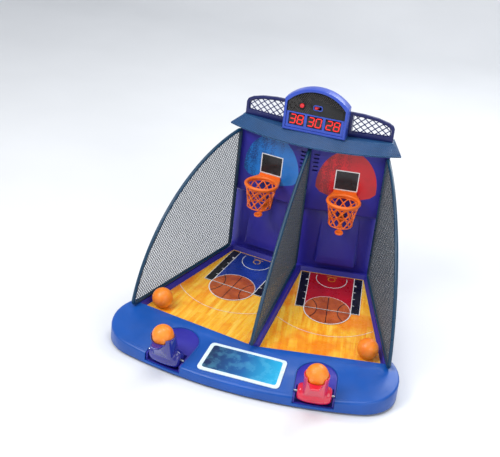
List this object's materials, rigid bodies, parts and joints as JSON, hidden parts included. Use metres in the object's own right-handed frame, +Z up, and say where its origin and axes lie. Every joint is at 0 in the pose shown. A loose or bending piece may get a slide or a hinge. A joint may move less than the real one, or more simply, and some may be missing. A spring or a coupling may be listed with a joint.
{
  "type": "basketball hoop machine",
  "caption": "Tabletop arcade basketball game with two lanes, spring launchers, hoops with score paddles, net walls and an electronic scoreboard.",
  "frame": {"origin": "centre of the bounding box's bottom face, on the table", "axes": "+Z up, the players sit at -Y, the tower stands at +Y, +X is to the players' right"},
  "size_m": [0.524, 0.4582, 0.431],
  "materials": {
    "shell_violet": "satin moulded",
    "apron_blue": "satin moulded",
    "pan_black": "matte",
    "net_tube_navy": "satin",
    "net_fabric": "mesh",
    "canopy_teal": "textured",
    "header_navy": "satin",
    "scoreboard_blue": "satin",
    "panel_black": "gloss",
    "display_red": "tinted",
    "circuit_green": "lacquered",
    "speaker_black": "paper cone",
    "control_red": "gloss",
    "hoop_orange": "satin",
    "ball_orange": "satin",
    "court_print": "printed board",
    "label_print": "printed card",
    "launcher_red": "gloss",
    "launcher_blue": "gloss",
    "steel": "plated",
    "rubber": "matte",
    "battery_wrap": "wrapped cell",
    "switch_black": "matte"
  },
  "bodies": {
    "machine": {"base_shell": "shell_violet", "bottom_pan": "pan_black", "canopy": "canopy_teal", "centre_display": "display_red", "circuit_board": "circuit_green", "divider_net": "net_fabric", "divider_net_frame": "net_tube_navy", "front_apron": "apron_blue", "label_plate": "label_print", "left_back_wall": "shell_violet", "left_backboard": "shell_violet", "left_basket": "hoop_orange", "left_battery": "battery_wrap", "left_court_board": "court_print", "left_display": "display_red", "left_front_foot": "rubber", "left_header_frame": "header_navy", "left_header_grille": "header_navy", "left_launcher_cradle": "shell_violet", "left_launcher_pin": "steel", "left_launcher_spring": "steel", "left_paddle_pin": "steel", "left_rim": "hoop_orange", "left_score_switch": "switch_black", "left_side_net": "net_fabric", "left_side_net_frame": "net_tube_navy", "rear_foot_strip": "rubber", "right_back_wall": "shell_violet", "right_backboard": "shell_violet", "right_basket": "hoop_orange", "right_battery": "battery_wrap", "right_court_board": "court_print", "right_display": "display_red", "right_front_foot": "rubber", "right_header_frame": "header_navy", "right_header_grille": "header_navy", "right_launcher_cradle": "shell_violet", "right_launcher_pin": "steel", "right_launcher_spring": "steel", "right_paddle_pin": "steel", "right_rim": "hoop_orange", "right_score_switch": "switch_black", "right_side_net": "net_fabric", "right_side_net_frame": "net_tube_navy", "scoreboard_housing": "scoreboard_blue", "scoreboard_panel": "panel_black", "scoreboard_rear_cover": "shell_violet", "speaker": "speaker_black", "tower_rear_cover": "shell_violet"},
    "left_launcher_body": {"left_launcher": "launcher_blue"},
    "right_launcher_body": {"right_launcher": "launcher_red"},
    "left_loaded_ball_body": {"left_loaded_ball": "ball_orange"},
    "right_loaded_ball_body": {"right_loaded_ball": "ball_orange"},
    "left_court_ball_body": {"left_court_ball": "ball_orange"},
    "right_court_ball_body": {"right_court_ball": "ball_orange"},
    "left_paddle_body": {"left_score_paddle": "hoop_orange"},
    "right_paddle_body": {"right_score_paddle": "hoop_orange"},
    "reset_button_body": {"reset_button": "control_red"},
    "power_switch_body": {"power_switch_knob": "control_red"},
    "battery_door_body": {"battery_door": "pan_black"}
  },
  "joints": [
    {"name": "left_launcher_pull", "type": "hinge", "parent": "machine", "child": "left_launcher_body", "pos_m": [-0.13278, -0.17922, 0.0265], "axis": [0.9869, -0.1616, 0], "range_deg": [0, 55], "stiffness_Nm_per_rad": 0.12, "springref_deg": -28.65},
    {"name": "left_loaded_ball_lift", "type": "slide", "parent": "left_launcher_body", "child": "left_loaded_ball_body", "axis": [0, 0, 1], "range_m": [0, 0.05]},
    {"name": "left_court_ball_lift", "type": "slide", "parent": "machine", "child": "left_court_ball_body", "axis": [0, 0, 1], "range_m": [0, 0.05]},
    {"name": "left_score_paddle_tilt", "type": "hinge", "parent": "machine", "child": "left_paddle_body", "pos_m": [-0.07072, 0.19973, 0.1825], "axis": [0.9869, -0.1616, 0], "range_deg": [0, 22], "stiffness_Nm_per_rad": 0.004, "springref_deg": -17.19},
    {"name": "right_launcher_pull", "type": "hinge", "parent": "machine", "child": "right_launcher_body", "pos_m": [0.13278, -0.17922, 0.0265], "axis": [0.9869, 0.1616, 0], "range_deg": [0, 55], "stiffness_Nm_per_rad": 0.12, "springref_deg": -28.65},
    {"name": "right_loaded_ball_lift", "type": "slide", "parent": "right_launcher_body", "child": "right_loaded_ball_body", "axis": [0, 0, 1], "range_m": [0, 0.05]},
    {"name": "right_court_ball_lift", "type": "slide", "parent": "machine", "child": "right_court_ball_body", "axis": [0, 0, 1], "range_m": [0, 0.05]},
    {"name": "right_score_paddle_tilt", "type": "hinge", "parent": "machine", "child": "right_paddle_body", "pos_m": [0.07072, 0.19973, 0.1825], "axis": [0.9869, 0.1616, 0], "range_deg": [0, 22], "stiffness_Nm_per_rad": 0.004, "springref_deg": -17.19},
    {"name": "reset_button_press", "type": "slide", "parent": "machine", "child": "reset_button_body", "axis": [0, 1, 0], "range_m": [0, 0.0015], "stiffness_N_per_m": 300, "springref_m": -0.0005},
    {"name": "power_switch_slide", "type": "slide", "parent": "machine", "child": "power_switch_body", "axis": [1, 0, 0], "range_m": [0, 0.006]},
    {"name": "battery_door_slide", "type": "slide", "parent": "machine", "child": "battery_door_body", "axis": [0, 1, 0], "range_m": [0, 0.06]}
  ]
}
